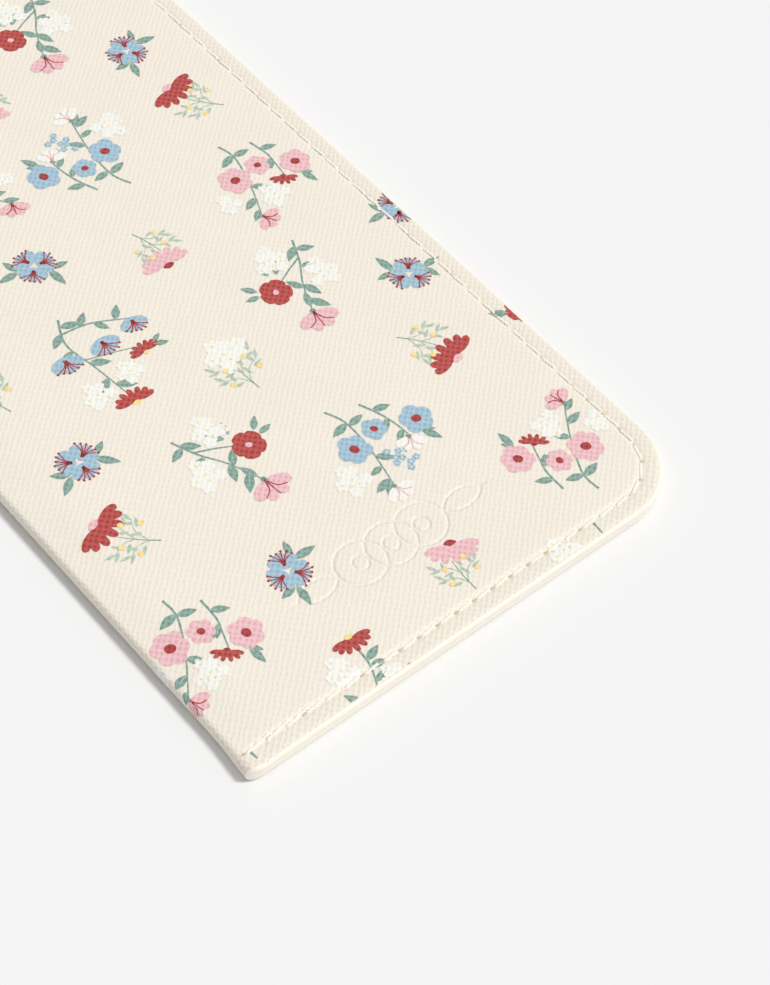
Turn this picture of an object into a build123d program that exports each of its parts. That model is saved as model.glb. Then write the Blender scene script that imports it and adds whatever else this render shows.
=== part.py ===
from build123d import *

import os
from math import atan2, cos, degrees, pi, sin

os.makedirs("parts", exist_ok=True)

# A slip-in phone sleeve: one sheet of printed faux leather, folded along its left side and sewn
# through both plies along the closed end and the right side. The mouth at the far end is open.
# X runs across (fold at -X), Y along (closed end at -Y, mouth at +Y), Z up. Millimetres.
# The real front ply is one piece with the rest and flexes. Here it is cut just inside the seam
# and the fold, so that it can rise as a panel when a phone goes in.

# Driving dimensions: the sheets
width = 89.2
length = 160.0
outer_sheet = 0.8
board_sheet = 0.45
lining_sheet = 0.3
pocket_gap = 0.2
corner_radius = 12.5
mouth_corner_radius = 3.5

# Driving dimensions: the seam and its stitches
seam_inset = 3.3
stitch_pitch = 3.636
first_hole_from_fold = 1.82
stitches_along_seam = 64
stitches_at_mouth = 20
backtack_stitches = 3
thread_radius = 0.25
thread_bend = 0.4
hole_radius = 0.4
groove_width = 1.9
top_groove_depth = 0.35
bottom_groove_depth = 0.52
lock_gap = 0.1

# Driving dimensions: the split round the moving panel, and the edge paint
rim_width = 5.0
split_gap = 0.3
paint_film = 0.35
paint_line = 0.16

# Worked out from the above
half_width = width / 2
half_length = length / 2
ply = outer_sheet + board_sheet + lining_sheet
thickness = 2 * ply + pocket_gap
fold_z = thickness / 2
fold_x = -half_width + fold_z
outer_radius = fold_z
board_radius = outer_radius - outer_sheet
lining_radius = board_radius - board_sheet
pocket_radius = lining_radius - lining_sheet
front_ply_bottom = thickness - ply
rim_edge = rim_width - split_gap / 2
panel_edge = rim_width + split_gap / 2
smallest_round = 0.2
top_run = thickness - top_groove_depth + thread_radius
bottom_run = bottom_groove_depth - thread_radius


def plan(inset):
    """The closed sleeve from above, cut back from its three open edges but not from its fold."""
    with BuildSketch() as outline:
        with Locations((-inset / 2, 0)):
            Rectangle(width - inset, length - 2 * inset)
        end_corner = outline.vertices().group_by(Axis.Y)[0].sort_by(Axis.X)[-1]
        fillet(end_corner, max(corner_radius - inset, smallest_round))
        mouth_corner = outline.vertices().group_by(Axis.Y)[-1].sort_by(Axis.X)[-1]
        fillet(mouth_corner, max(mouth_corner_radius - inset, smallest_round))
    return outline.sketch


def window(edge, left_edge):
    """The unsewn part of the front, seen from above: it runs out past the mouth."""
    window_width = width - edge - left_edge
    window_length = length - edge + rim_width
    with BuildSketch() as opening:
        with Locations(((left_edge - edge) / 2, (rim_width + edge) / 2)):
            Rectangle(window_width, window_length)
        end_corner = opening.vertices().group_by(Axis.Y)[0].sort_by(Axis.X)[-1]
        fillet(end_corner, corner_radius - edge)
    return opening.sketch


def panel():
    """The front ply's moving panel, seen from above."""
    with BuildSketch() as sheet:
        add(plan(paint_film))
        add(window(panel_edge, panel_edge), mode=Mode.INTERSECT)
    return sheet.sketch


def margin(start):
    """The sewn margin along the closed end and the right side, from x = start."""
    with BuildSketch() as strip:
        add(plan(paint_film))
        add(window(rim_edge, -width), mode=Mode.SUBTRACT)
        with Locations((start + width / 2, 0)):
            Rectangle(width, 2 * length, mode=Mode.INTERSECT)
    return strip.sketch


def cut_edge(low, high):
    """The painted film round the open edges, between two places along the sleeve."""
    with BuildSketch() as ring:
        add(plan(0))
        add(plan(paint_film), mode=Mode.SUBTRACT)
        with Locations((0, (low + high) / 2)):
            Rectangle(2 * width, high - low, mode=Mode.INTERSECT)
    return ring.sketch


def groove():
    """The pressed line that the stitches lie in, round the three open edges."""
    with BuildSketch() as ring:
        add(plan(seam_inset - groove_width / 2))
        add(plan(seam_inset + groove_width / 2), mode=Mode.SUBTRACT)
    return ring.sketch


def folded_section(outside, inside=0.0):
    """Across the fold: two flat legs joined by half a ring, for one layer or for all of them."""
    with BuildSketch(Plane.XZ) as section:
        with Locations((fold_x, fold_z)):
            Circle(outside)
        with Locations(((fold_x + half_width) / 2, fold_z)):
            Rectangle(half_width - fold_x, 2 * outside)
        if inside > 0:
            with Locations((fold_x, fold_z)):
                Circle(inside, mode=Mode.SUBTRACT)
            with Locations(((fold_x + half_width) / 2, fold_z)):
                Rectangle(half_width - fold_x, 2 * inside, mode=Mode.SUBTRACT)
    return section.sketch


def at_height(sketch, height):
    """A flat sketch lifted to a height."""
    return sketch.moved(Location((0, 0, height)))


def seam_place(distance):
    """Place on the seam line at a distance from its first hole."""
    bend_radius = corner_radius - seam_inset
    end_run = width - first_hole_from_fold - corner_radius
    bend_run = bend_radius * pi / 2
    if distance <= end_run:
        return (-half_width + first_hole_from_fold + distance, -half_length + seam_inset)
    if distance <= end_run + bend_run:
        turn = (distance - end_run) / bend_radius
        x = half_width - corner_radius + bend_radius * sin(turn)
        y = -half_length + corner_radius - bend_radius * cos(turn)
        return (x, y)
    side_run = distance - end_run - bend_run
    return (half_width - seam_inset, -half_length + corner_radius + side_run)


def seam_holes():
    """The needle holes in order: along the closed end, round the corner, up the right side."""
    return [seam_place(count * stitch_pitch) for count in range(stitches_along_seam + 1)]


def mouth_holes():
    """The needle holes of the topstitch across the mouth."""
    start = -stitches_at_mouth * stitch_pitch / 2
    row = half_length - seam_inset
    return [(start + count * stitch_pitch, row) for count in range(stitches_at_mouth + 1)]


def punched(places):
    """Round needle holes at the given places."""
    with BuildSketch() as dots:
        with Locations(*places):
            Circle(hole_radius)
    return dots.sketch


def stitch_places(holes):
    """One place per stitch: at its first hole, turned towards the next one."""
    places = []
    for start, end in zip(holes[:-1], holes[1:]):
        heading = degrees(atan2(end[1] - start[1], end[0] - start[0]))
        places.append(Location((start[0], start[1], 0), (0, 0, heading)))
    return places


def stitch(leg_end, run_height):
    """One stitch: a leg in its needle hole, bent over into a run towards the next hole."""
    run_end = stitch_pitch - 3 * thread_radius
    with BuildPart() as thread:
        with BuildLine(Plane.XZ) as path:
            FilletPolyline((0, leg_end), (0, run_height), (run_end, run_height), radius=thread_bend)
        with BuildSketch(Plane((0, 0, leg_end), z_dir=(0, 0, run_height - leg_end))):
            Circle(thread_radius)
        sweep(path=path.wires()[0])
    return thread.part


seam_row = seam_holes()
mouth_row = mouth_holes()
seam_stitches = stitch_places(seam_row)
mouth_stitches = stitch_places(mouth_row)

# The printed outer sheet: back, fold and the sewn rim of the front, in one piece
with BuildPart() as outer_wrap:
    extrude(folded_section(outer_radius, board_radius), amount=half_length, both=True)
    extrude(plan(paint_film), amount=thickness, mode=Mode.INTERSECT)
    front_window = at_height(window(rim_edge, rim_edge), fold_z)
    extrude(front_window, amount=fold_z, mode=Mode.SUBTRACT)
    top_groove = at_height(groove(), thickness - top_groove_depth)
    extrude(top_groove, amount=top_groove_depth, mode=Mode.SUBTRACT)
    extrude(groove(), amount=bottom_groove_depth, mode=Mode.SUBTRACT)
    extrude(punched(seam_row), amount=thickness, mode=Mode.SUBTRACT)
    extrude(punched(mouth_row), amount=fold_z, mode=Mode.SUBTRACT)
outer_wrap.part.label = "outer_wrap"
export_step(outer_wrap.part, "parts/outer_wrap.step")

# The front of the same sheet, inside the seam
with BuildPart() as outer_front_panel:
    extrude(at_height(panel(), thickness - outer_sheet), amount=outer_sheet)
    extrude(top_groove, amount=top_groove_depth, mode=Mode.SUBTRACT)
    extrude(punched(mouth_row), amount=thickness, mode=Mode.SUBTRACT)
outer_front_panel.part.label = "outer_front_panel"
export_step(outer_front_panel.part, "parts/outer_front_panel.step")

# The tape that reinforces the fold between the two boards
with BuildPart() as fold_tape:
    extrude(folded_section(board_radius, lining_radius), amount=half_length, both=True)
    extrude(plan(paint_film), amount=thickness, mode=Mode.INTERSECT)
    with BuildSketch():
        with Locations((-half_width + rim_edge - width / 2, 0)):
            Rectangle(width, 2 * length)
    extrude(amount=thickness, mode=Mode.INTERSECT)
    extrude(punched(seam_row), amount=thickness, mode=Mode.SUBTRACT)
fold_tape.part.label = "fold_tape"
export_step(fold_tape.part, "parts/fold_tape.step")

# The stiffening board in the back ply
with BuildPart() as back_board:
    with BuildSketch(Plane.XY.offset(outer_sheet)):
        add(plan(paint_film))
        with Locations((panel_edge, 0)):
            Rectangle(width, 2 * length, mode=Mode.INTERSECT)
    extrude(amount=board_sheet)
    extrude(punched(seam_row + mouth_row), amount=thickness, mode=Mode.SUBTRACT)
back_board.part.label = "back_board"
export_step(back_board.part, "parts/back_board.step")

# The stiffening board in the front ply, and the margin of it that is caught in the seam
with BuildPart() as front_board:
    extrude(at_height(panel(), front_ply_bottom + lining_sheet), amount=board_sheet)
    extrude(punched(mouth_row), amount=thickness, mode=Mode.SUBTRACT)
front_board.part.label = "front_board"
export_step(front_board.part, "parts/front_board.step")

with BuildPart() as front_board_margin:
    margin_height = front_ply_bottom + lining_sheet
    extrude(at_height(margin(-half_width + panel_edge), margin_height), amount=board_sheet)
    extrude(punched(seam_row), amount=thickness, mode=Mode.SUBTRACT)
front_board_margin.part.label = "front_board_margin"
export_step(front_board_margin.part, "parts/front_board_margin.step")

# The lining: back, fold and the margin caught in the seam, in one piece
with BuildPart() as lining_wrap:
    extrude(folded_section(lining_radius, pocket_radius), amount=half_length, both=True)
    extrude(plan(paint_film), amount=thickness, mode=Mode.INTERSECT)
    extrude(front_window, amount=fold_z, mode=Mode.SUBTRACT)
    extrude(punched(seam_row), amount=thickness, mode=Mode.SUBTRACT)
    extrude(punched(mouth_row), amount=fold_z, mode=Mode.SUBTRACT)
lining_wrap.part.label = "lining_wrap"
export_step(lining_wrap.part, "parts/lining_wrap.step")

# The front of the same lining, inside the seam
with BuildPart() as lining_front_panel:
    extrude(at_height(panel(), front_ply_bottom), amount=lining_sheet)
    extrude(punched(mouth_row), amount=thickness, mode=Mode.SUBTRACT)
lining_front_panel.part.label = "lining_front_panel"
export_step(lining_front_panel.part, "parts/lining_front_panel.step")

# The line of contact glue that holds the two plies together under the seam
with BuildPart() as seam_glue:
    extrude(at_height(margin(fold_x + pocket_gap), ply), amount=pocket_gap)
    extrude(punched(seam_row), amount=thickness, mode=Mode.SUBTRACT)
seam_glue.part.label = "seam_glue"
export_step(seam_glue.part, "parts/seam_glue.step")

# The painted edge along the closed end, the corner and the right side, over both plies
with BuildPart() as edge_paint_seam:
    paint_end = half_length - mouth_corner_radius
    extrude(cut_edge(-length, paint_end), amount=thickness)
    extrude(folded_section(outer_radius), amount=half_length, both=True, mode=Mode.INTERSECT)
    with BuildSketch(Plane.XY.offset(fold_z - paint_line / 2)):
        add(plan(0))
        add(plan(paint_line), mode=Mode.SUBTRACT)
        with Locations((fold_x + half_width, 0)):
            Rectangle(width, 2 * length, mode=Mode.INTERSECT)
    extrude(amount=paint_line, mode=Mode.SUBTRACT)
edge_paint_seam.part.label = "edge_paint_seam"
export_step(edge_paint_seam.part, "parts/edge_paint_seam.step")

# The painted edge of the back ply, the fold and the sewn corner at the mouth
with BuildPart() as edge_paint_mouth_back:
    extrude(folded_section(outer_radius, pocket_radius), amount=half_length, both=True)
    extrude(cut_edge(paint_end, length), amount=thickness, mode=Mode.INTERSECT)
    extrude(front_window, amount=fold_z, mode=Mode.SUBTRACT)
edge_paint_mouth_back.part.label = "edge_paint_mouth_back"
export_step(edge_paint_mouth_back.part, "parts/edge_paint_mouth_back.step")

# The painted edge of the front ply at the mouth
with BuildPart() as edge_paint_mouth_front:
    with BuildSketch(Plane.XY.offset(front_ply_bottom)):
        add(cut_edge(paint_end, length))
        add(window(panel_edge, panel_edge), mode=Mode.INTERSECT)
    extrude(amount=ply)
edge_paint_mouth_front.part.label = "edge_paint_mouth_front"
export_step(edge_paint_mouth_front.part, "parts/edge_paint_mouth_front.step")

# The seam's thread on the front, with its legs down to the lock in the middle of the sleeve
needle_stitch = stitch(fold_z + lock_gap / 2, top_run)
with BuildPart() as seam_needle_thread:
    with Locations(*seam_stitches):
        add(needle_stitch)
seam_needle_thread.part.label = "seam_needle_thread"
export_step(seam_needle_thread.part, "parts/seam_needle_thread.step")

# The seam's thread on the back
bobbin_stitch = stitch(fold_z - lock_gap / 2, bottom_run)
with BuildPart() as seam_bobbin_thread:
    with Locations(*seam_stitches):
        add(bobbin_stitch)
seam_bobbin_thread.part.label = "seam_bobbin_thread"
export_step(seam_bobbin_thread.part, "parts/seam_bobbin_thread.step")

# The second run of thread over the first stitches, beside them in the groove
with BuildPart() as seam_backtack:
    tack_run = stitch_pitch - 2 * thread_radius
    tack_offset = 2 * thread_radius + lock_gap / 2
    for count in range(backtack_stitches):
        tack_x = -half_width + first_hole_from_fold + (count + 0.5) * stitch_pitch
        with Locations((tack_x, -half_length + seam_inset + tack_offset, top_run)):
            Cylinder(thread_radius, tack_run, rotation=(0, 90, 0))
seam_backtack.part.label = "seam_backtack"
export_step(seam_backtack.part, "parts/seam_backtack.step")

# The topstitch across the mouth, on the front ply and on the back ply
mouth_front_stitch = stitch(front_ply_bottom, top_run)
with BuildPart() as mouth_thread_front:
    with Locations(*mouth_stitches):
        add(mouth_front_stitch)
mouth_thread_front.part.label = "mouth_thread_front"
export_step(mouth_thread_front.part, "parts/mouth_thread_front.step")

mouth_back_stitch = stitch(ply, bottom_run)
with BuildPart() as mouth_thread_back:
    with Locations(*mouth_stitches):
        add(mouth_back_stitch)
mouth_thread_back.part.label = "mouth_thread_back"
export_step(mouth_thread_back.part, "parts/mouth_thread_back.step")
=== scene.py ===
"""A sewn slip-in phone sleeve of flower-printed faux leather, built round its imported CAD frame.

Lengths are in millimetres until a mesh is made. The printed sheet has flat coordinates: s runs across
it from the front's fold line (negative round the fold and over the back), t along the sleeve.
"""

import math
import random

import bmesh
import bpy
from mathutils import Euler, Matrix, Vector, kdtree, noise


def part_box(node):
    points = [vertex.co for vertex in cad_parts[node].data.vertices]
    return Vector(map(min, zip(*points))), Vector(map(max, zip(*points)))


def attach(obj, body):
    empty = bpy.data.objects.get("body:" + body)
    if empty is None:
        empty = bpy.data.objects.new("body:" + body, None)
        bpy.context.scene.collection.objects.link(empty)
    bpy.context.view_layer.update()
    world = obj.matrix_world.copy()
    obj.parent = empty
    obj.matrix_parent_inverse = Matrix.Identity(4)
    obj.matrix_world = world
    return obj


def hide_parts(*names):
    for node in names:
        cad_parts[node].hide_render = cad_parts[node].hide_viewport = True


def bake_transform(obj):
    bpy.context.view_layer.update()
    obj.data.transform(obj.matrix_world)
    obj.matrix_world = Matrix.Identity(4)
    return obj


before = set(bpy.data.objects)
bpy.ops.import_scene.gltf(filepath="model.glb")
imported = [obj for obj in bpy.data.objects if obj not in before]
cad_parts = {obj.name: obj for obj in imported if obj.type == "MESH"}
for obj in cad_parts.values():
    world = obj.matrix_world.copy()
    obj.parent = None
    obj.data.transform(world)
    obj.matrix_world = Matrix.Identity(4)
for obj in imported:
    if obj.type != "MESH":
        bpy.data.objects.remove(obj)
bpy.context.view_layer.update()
MM = 0.001

# Sizes read from the frame
paint_low, paint_high = [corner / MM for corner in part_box("edge_paint_seam")]
panel_low, panel_high = [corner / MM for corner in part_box("outer_front_panel")]
lining_low, lining_high = [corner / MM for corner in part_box("lining_front_panel")]
board_low, board_high = [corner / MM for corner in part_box("front_board")]
HALF_WIDTH = paint_high.x
HALF_LENGTH = -paint_low.y
TOP = paint_high.z
FOLD_RADIUS = TOP / 2
FOLD_X = -HALF_WIDTH + FOLD_RADIUS
FOLD_ARC = math.pi * FOLD_RADIUS
SHEET = panel_high.z - panel_low.z
BOARD = board_high.z - board_low.z
LINING = lining_high.z - lining_low.z
FILM = HALF_LENGTH - panel_high.y
FRONT_FLAT = HALF_WIDTH - FILM - FOLD_X

# Sizes repeated from the CAD part
STITCH = 3.636
SEAM_INSET = 3.3
END_CORNER = 12.5
MOUTH_CORNER = 3.5
FIRST_HOLE = 1.82
STITCHES_SEAM, STITCHES_MOUTH = 64, 20
BACKTACK_STITCHES = 3
FRONT_BODY, BACK_BODY = "front_ply", "root"


# --- the sheet's surface

GROOVE_WIDTH, GROOVE_DEPTH = 1.9, 0.30
DIMPLE_REACH, DIMPLE_DEPTH = 0.75, 0.16
FLANGE_DROP = 0.14
PILLOW_DEPTH, PILLOW_REACH = 0.16, 2.2
EDGE_ROLL, EDGE_ROLL_WIDTH = 0.22, 0.8
CREASE_IN, CREASE_DOWN, CREASE_UP = 0.5, 0.27, 0.42
CREASE_LEAST, CREASE_RUN, CREASE_REACH = 0.45, 9.0, 5.5
CORNER_TRIM, CORNER_REACH, CORNER_RUN = 1.15, 1.4, 5.0
WAVE_DEPTH, WAVE_LENGTH, WAVE_START = 0.07, 26.0, 8.0
RELIEF_FADE = 3.0
ORNAMENT_X, ORNAMENT_Y = -2.4, -61.5
ORNAMENT_HALF = (18.4, 4.6)
ORNAMENT_DEPTH, ORNAMENT_LINE = 0.22, 0.32
OVAL_PITCH, OUTER_OVAL, INNER_OVAL = 6.0, (4.3, 3.9), (1.3, 1.3)
LEAVES_AT, LEAF_HALF_SIZE = (14.3, 0.0), (3.9, 1.7)


def smooth(share):
    """0 to 1, level at both ends."""
    share = min(1.0, max(0.0, share))
    return share * share * (3 - 2 * share)


def corner_distance(p, q, radius):
    """Distance from two edges that meet in a round corner."""
    if p < radius and q < radius:
        return radius - math.hypot(radius - p, radius - q)
    return min(p, q)


def edge_distance(x, y):
    """Distance in from the sleeve's three open edges."""
    side, end, mouth = HALF_WIDTH - x, HALF_LENGTH + y, HALF_LENGTH - y
    return min(corner_distance(side, end, END_CORNER), corner_distance(side, mouth, MOUTH_CORNER))


def ring_distance(x, y, centre, radii):
    """Distance from an oval line, near enough for a pressed line."""
    reach = math.hypot((x - centre[0]) / radii[0], (y - centre[1]) / radii[1])
    return abs(reach - 1) * min(radii)


def leaf_distance(x, y, centre, half_length, half_height):
    """Distance from the outline of a pointed leaf that lies along X."""
    arc = (half_length**2 + half_height**2) / (2 * half_height)
    x, y = x - centre[0], abs(y - centre[1])
    return abs(math.hypot(x, y + arc - half_height) - arc)


def ornament(x, y):
    """Depth of the pressed ornament: three linked ovals between two pairs of leaves."""
    x, y = x - ORNAMENT_X, y - ORNAMENT_Y
    if abs(x) > ORNAMENT_HALF[0] or abs(y) > ORNAMENT_HALF[1]:
        return 0.0
    lines = [leaf_distance(abs(x), y, LEAVES_AT, *LEAF_HALF_SIZE)]
    for oval in (OUTER_OVAL, INNER_OVAL):
        lines += [ring_distance(x, y, (OVAL_PITCH * k, 0.0), oval) for k in (-1, 0, 1)]
    nearest = min(lines)
    if nearest > ORNAMENT_LINE:
        return 0.0
    return ORNAMENT_DEPTH * math.cos(math.pi / 2 * nearest / ORNAMENT_LINE) ** 2


def seam_holes():
    """The seam's needle holes: along the closed end, round the corner and up the right side."""
    bend = END_CORNER - SEAM_INSET
    end_run = 2 * HALF_WIDTH - FIRST_HOLE - END_CORNER
    bend_run = bend * math.pi / 2
    holes = []
    for count in range(STITCHES_SEAM + 1):
        distance = count * STITCH
        turn = min(max((distance - end_run) / bend, 0.0), math.pi / 2)
        x = min(distance, end_run) - HALF_WIDTH + FIRST_HOLE + bend * math.sin(turn)
        y = SEAM_INSET - HALF_LENGTH + bend * (1 - math.cos(turn)) + max(distance - end_run - bend_run, 0.0)
        holes.append((x, y))
    return holes


def mouth_holes():
    """The needle holes of the topstitch across the mouth."""
    start = -STITCHES_MOUTH * STITCH / 2
    return [(start + count * STITCH, HALF_LENGTH - SEAM_INSET) for count in range(STITCHES_MOUTH + 1)]


SEAM_ROW, MOUTH_ROW = seam_holes(), mouth_holes()
HOLE_TREE = kdtree.KDTree(len(SEAM_ROW) + len(MOUTH_ROW))
for index, (hole_x, hole_y) in enumerate(SEAM_ROW + MOUTH_ROW):
    HOLE_TREE.insert((hole_x, hole_y, 0.0), index)
HOLE_TREE.balance()


def relief(x, y, front):
    """How far the sheet's surface stands below its flat level, in millimetres."""
    edge = edge_distance(x, y)
    off_seam = edge - SEAM_INSET
    drop = 0.0
    if abs(off_seam) < GROOVE_WIDTH / 2:
        drop += GROOVE_DEPTH * math.cos(math.pi * off_seam / GROOVE_WIDTH) ** 2
        to_hole = HOLE_TREE.find((x, y, 0.0))[2]
        drop += DIMPLE_DEPTH * (1 - smooth(to_hole / DIMPLE_REACH))
    if off_seam < 0:
        drop += PILLOW_DEPTH + (FLANGE_DROP if front else 0.0) * smooth(-off_seam)
    else:
        drop += PILLOW_DEPTH * math.exp(-off_seam / PILLOW_REACH)
    roll = 1 - (edge - FILM) / EDGE_ROLL_WIDTH
    if roll > 0:
        drop += EDGE_ROLL * roll**2
    if front:
        drop += ornament(x, y)
        wave = noise.noise(Vector((x / WAVE_LENGTH, y / WAVE_LENGTH, 0.0)))
        drop += WAVE_DEPTH * (0.5 + wave) * smooth(off_seam / WAVE_START)
    return drop


def crease(t):
    """How far the fold is pressed flat: least at its sewn ends, fully 9 mm in from them."""
    return CREASE_LEAST + (1 - CREASE_LEAST) * smooth((HALF_LENGTH - abs(t)) / CREASE_RUN)


def fold_section(turn, t):
    """How far out and up the sheet stands round the creased fold, for a unit radius."""
    pressed = crease(t)
    flattening = CREASE_DOWN if turn < math.pi / 2 else CREASE_UP
    return math.sin(turn) * (1 - CREASE_IN * pressed), math.cos(turn) * (1 - flattening * pressed)


def fold_sink(x, t, front):
    """The share by which the crease brings one side of the sheet nearer to the middle."""
    flattening = CREASE_DOWN if front else CREASE_UP
    return flattening * crease(t) * (1 - smooth((x - FOLD_X) / CREASE_REACH))


def trimmed(x, t):
    """The place along the sleeve once its two ends are sanded round where they meet the fold."""
    out = max(0.0, (FOLD_X + CORNER_REACH - x) / (FOLD_RADIUS + CORNER_REACH))
    near_end = smooth((abs(t) - HALF_LENGTH + CORNER_RUN) / CORNER_RUN)
    return t - math.copysign(CORNER_TRIM * out**2 * near_end, t)


def lay(s, t, lift, pressed=True):
    """A point of the flat sheet in its folded place, lifted off the outer surface, in metres.

    pressed is False for the skins inside, which don't show the surface's relief.
    """
    reach = FOLD_RADIUS + lift
    if s >= 0:
        x = FOLD_X + s
        z = FOLD_RADIUS + reach * (1 - fold_sink(x, t, True))
        if pressed:
            z -= relief(x, t, True) * smooth(s / RELIEF_FADE)
    elif s > -FOLD_ARC:
        out, up = fold_section(-s / FOLD_RADIUS, t)
        x = FOLD_X - reach * out
        z = FOLD_RADIUS + reach * up
    else:
        back = -s - FOLD_ARC
        x = FOLD_X + back
        z = FOLD_RADIUS - reach * (1 - fold_sink(x, t, False))
        if pressed:
            z += relief(x, t, False) * smooth(back / RELIEF_FADE)
    return Vector((x, trimmed(x, t), z)) * MM


def spread(start, end, step):
    """Evenly spaced values from start up or down to end, both included."""
    count = max(1, round(abs(end - start) / step))
    return [start + (end - start) * k / count for k in range(count + 1)]


def joined(runs):
    """Runs of values put together, without the value they share."""
    values = list(runs[0])
    for run in runs[1:]:
        values += run[1:]
    return values


def stretches(stops, steps):
    """Values from stop to stop, with a step for each stretch."""
    return joined([spread(*stretch) for stretch in zip(stops[:-1], stops[1:], steps)])


def round_corner(x, y, inset):
    """Bends the grid's square corners to the sheet's round ones."""
    right, end, mouth = HALF_WIDTH - inset, -HALF_LENGTH + inset, HALF_LENGTH - inset
    for y_edge, inward, radius in ((end, 1, END_CORNER - inset), (mouth, -1, MOUTH_CORNER - inset)):
        p = x - (right - radius)
        q = ((y_edge + inward * radius) - y) * inward
        if p > 0 and q > 0:
            reach = max(p, q)
            turn = math.pi / 4 * (q / p) if p >= q else math.pi / 2 - math.pi / 4 * (p / q)
            x = right - radius + reach * math.cos(turn)
            y = y_edge + inward * (radius - reach * math.sin(turn))
    return x, y


def rounded(s, t, inset):
    """A grid point's flat place, with the sheet's corners rounded."""
    if s >= 0:
        x, y = round_corner(FOLD_X + s, t, inset)
        return x - FOLD_X, y
    if s <= -FOLD_ARC:
        x, y = round_corner(FOLD_X - s - FOLD_ARC, t, inset)
        return -FOLD_ARC - (x - FOLD_X), y
    return s, t


# --- meshes

def new_object(name, mesh, material):
    """Puts a mesh in the scene with one material."""
    mesh.materials.append(material)
    piece = bpy.data.objects.new(name, mesh)
    bpy.context.scene.collection.objects.link(piece)
    return piece


def finish_mesh(name, bm, material):
    """Turns a bmesh into a smoothly shaded piece."""
    mesh = bpy.data.meshes.new(name)
    bm.to_mesh(mesh)
    bm.free()
    mesh.polygons.foreach_set("use_smooth", [True] * len(mesh.polygons))
    return new_object(name, mesh, material)


def close_tube(bm, rings):
    """Joins rings of vertices into a closed tube."""
    for first, second in zip(rings[:-1], rings[1:]):
        for k in range(len(first)):
            bm.faces.new((first[k - 1], first[k], second[k], second[k - 1]))
    bm.faces.new(rings[0])
    bm.faces.new(rings[-1][::-1])


def flex(piece):
    """Bakes a piece's placement into its mesh, where it stays; it rides no body."""
    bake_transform(piece)


def register(piece, slot, body, *nodes):
    """Hides the CAD nodes that a piece stands for and attaches the piece to the body that it rides; slot is
    not used.

    A piece without a body keeps its place, with its placement baked into its mesh.
    """
    if nodes:
        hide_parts(*nodes)
    if body:
        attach(piece, body)
    else:
        flex(piece)


def folded_sheet(name, s_lines, t_lines, coarse_s, coarse_t, outside, thickness, material):
    """A folded sheet of even thickness: a fine outer skin, a coarse inner one, and its cut edges.

    outside is how far the outer skin lies inside the sleeve's surface.
    """
    bm = bmesh.new()
    flat_uv = bm.loops.layers.uv.new("flat")
    flat_place = {}

    def skin(across, along, lift, pressed):
        rows = []
        for t in along:
            row = []
            for s in across:
                place = rounded(s, t, FILM)
                vertex = bm.verts.new(lay(*place, lift, pressed))
                flat_place[vertex] = place
                row.append(vertex)
            rows.append(row)
        return rows

    outer = skin(s_lines, t_lines, -outside, outside == 0)
    inner = skin(coarse_s, coarse_t, -outside - thickness, False)
    for rows, flip in ((outer, False), (inner, True)):
        for low, high in zip(rows[:-1], rows[1:]):
            for k in range(len(low) - 1):
                corners = [low[k], low[k + 1], high[k + 1], high[k]]
                bm.faces.new(corners[::-1] if flip else corners)

    def edge(fine, coarse, fine_values, coarse_values, flip):
        at = [fine_values.index(value) for value in coarse_values]
        for k in range(len(coarse) - 1):
            corners = fine[at[k]: at[k + 1] + 1] + [coarse[k + 1], coarse[k]]
            bm.faces.new(corners[::-1] if flip else corners)

    edge(outer[0], inner[0], s_lines, coarse_s, True)
    edge(outer[-1], inner[-1], s_lines, coarse_s, False)
    edge([row[0] for row in outer], [row[0] for row in inner], t_lines, coarse_t, False)
    edge([row[-1] for row in outer], [row[-1] for row in inner], t_lines, coarse_t, True)
    for face in bm.faces:
        for loop in face.loops:
            loop[flat_uv].uv = flat_place[loop.vert]
    return finish_mesh(name, bm, material)


# --- materials

# The embossed lines: columns and rows, each with its pitch and the angle across it in degrees. The
# shares say what columns, rows and the pits where they cross add to the height and to the painted shade in
# the troughs.
GRAIN_LINES = ((0.82, 131.5), (0.98, 44.0))
TROUGH_POWER = 0.75
HEIGHT_SHARES, PAINTED_SHADE_SHARES = (-0.24, -0.46, -0.4), (0.12, 0.14, 0.54)
GRAIN_DEPTH, FINE_SHARE = 0.072, 0.4
GRAIN_WOBBLE, WOBBLE_SCALE = 0.64, 0.55
FINE_SCALE, SPECKLE_SCALE, PATCH_SCALE = 5.5, 1.3, 0.09
# The first two set how strongly the troughs are painted darker as shade, over the open sheet and more over
# the flange outside the seam.
SHEET_PAINTED_SHADE, FLANGE_PAINTED_SHADE, SHEET_ROUGHNESS = 0.48, 0.34, 0.5
FLANGE_START, FLANGE_FADE = 0.2, 0.8


def srgb(red, green, blue):
    """A screen colour, 0 to 255, as the linear colour a shader takes."""
    def linear(value):
        value /= 255
        return value / 12.92 if value <= 0.04045 else ((value + 0.055) / 1.055) ** 2.4
    return (linear(red), linear(green), linear(blue), 1.0)


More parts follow.
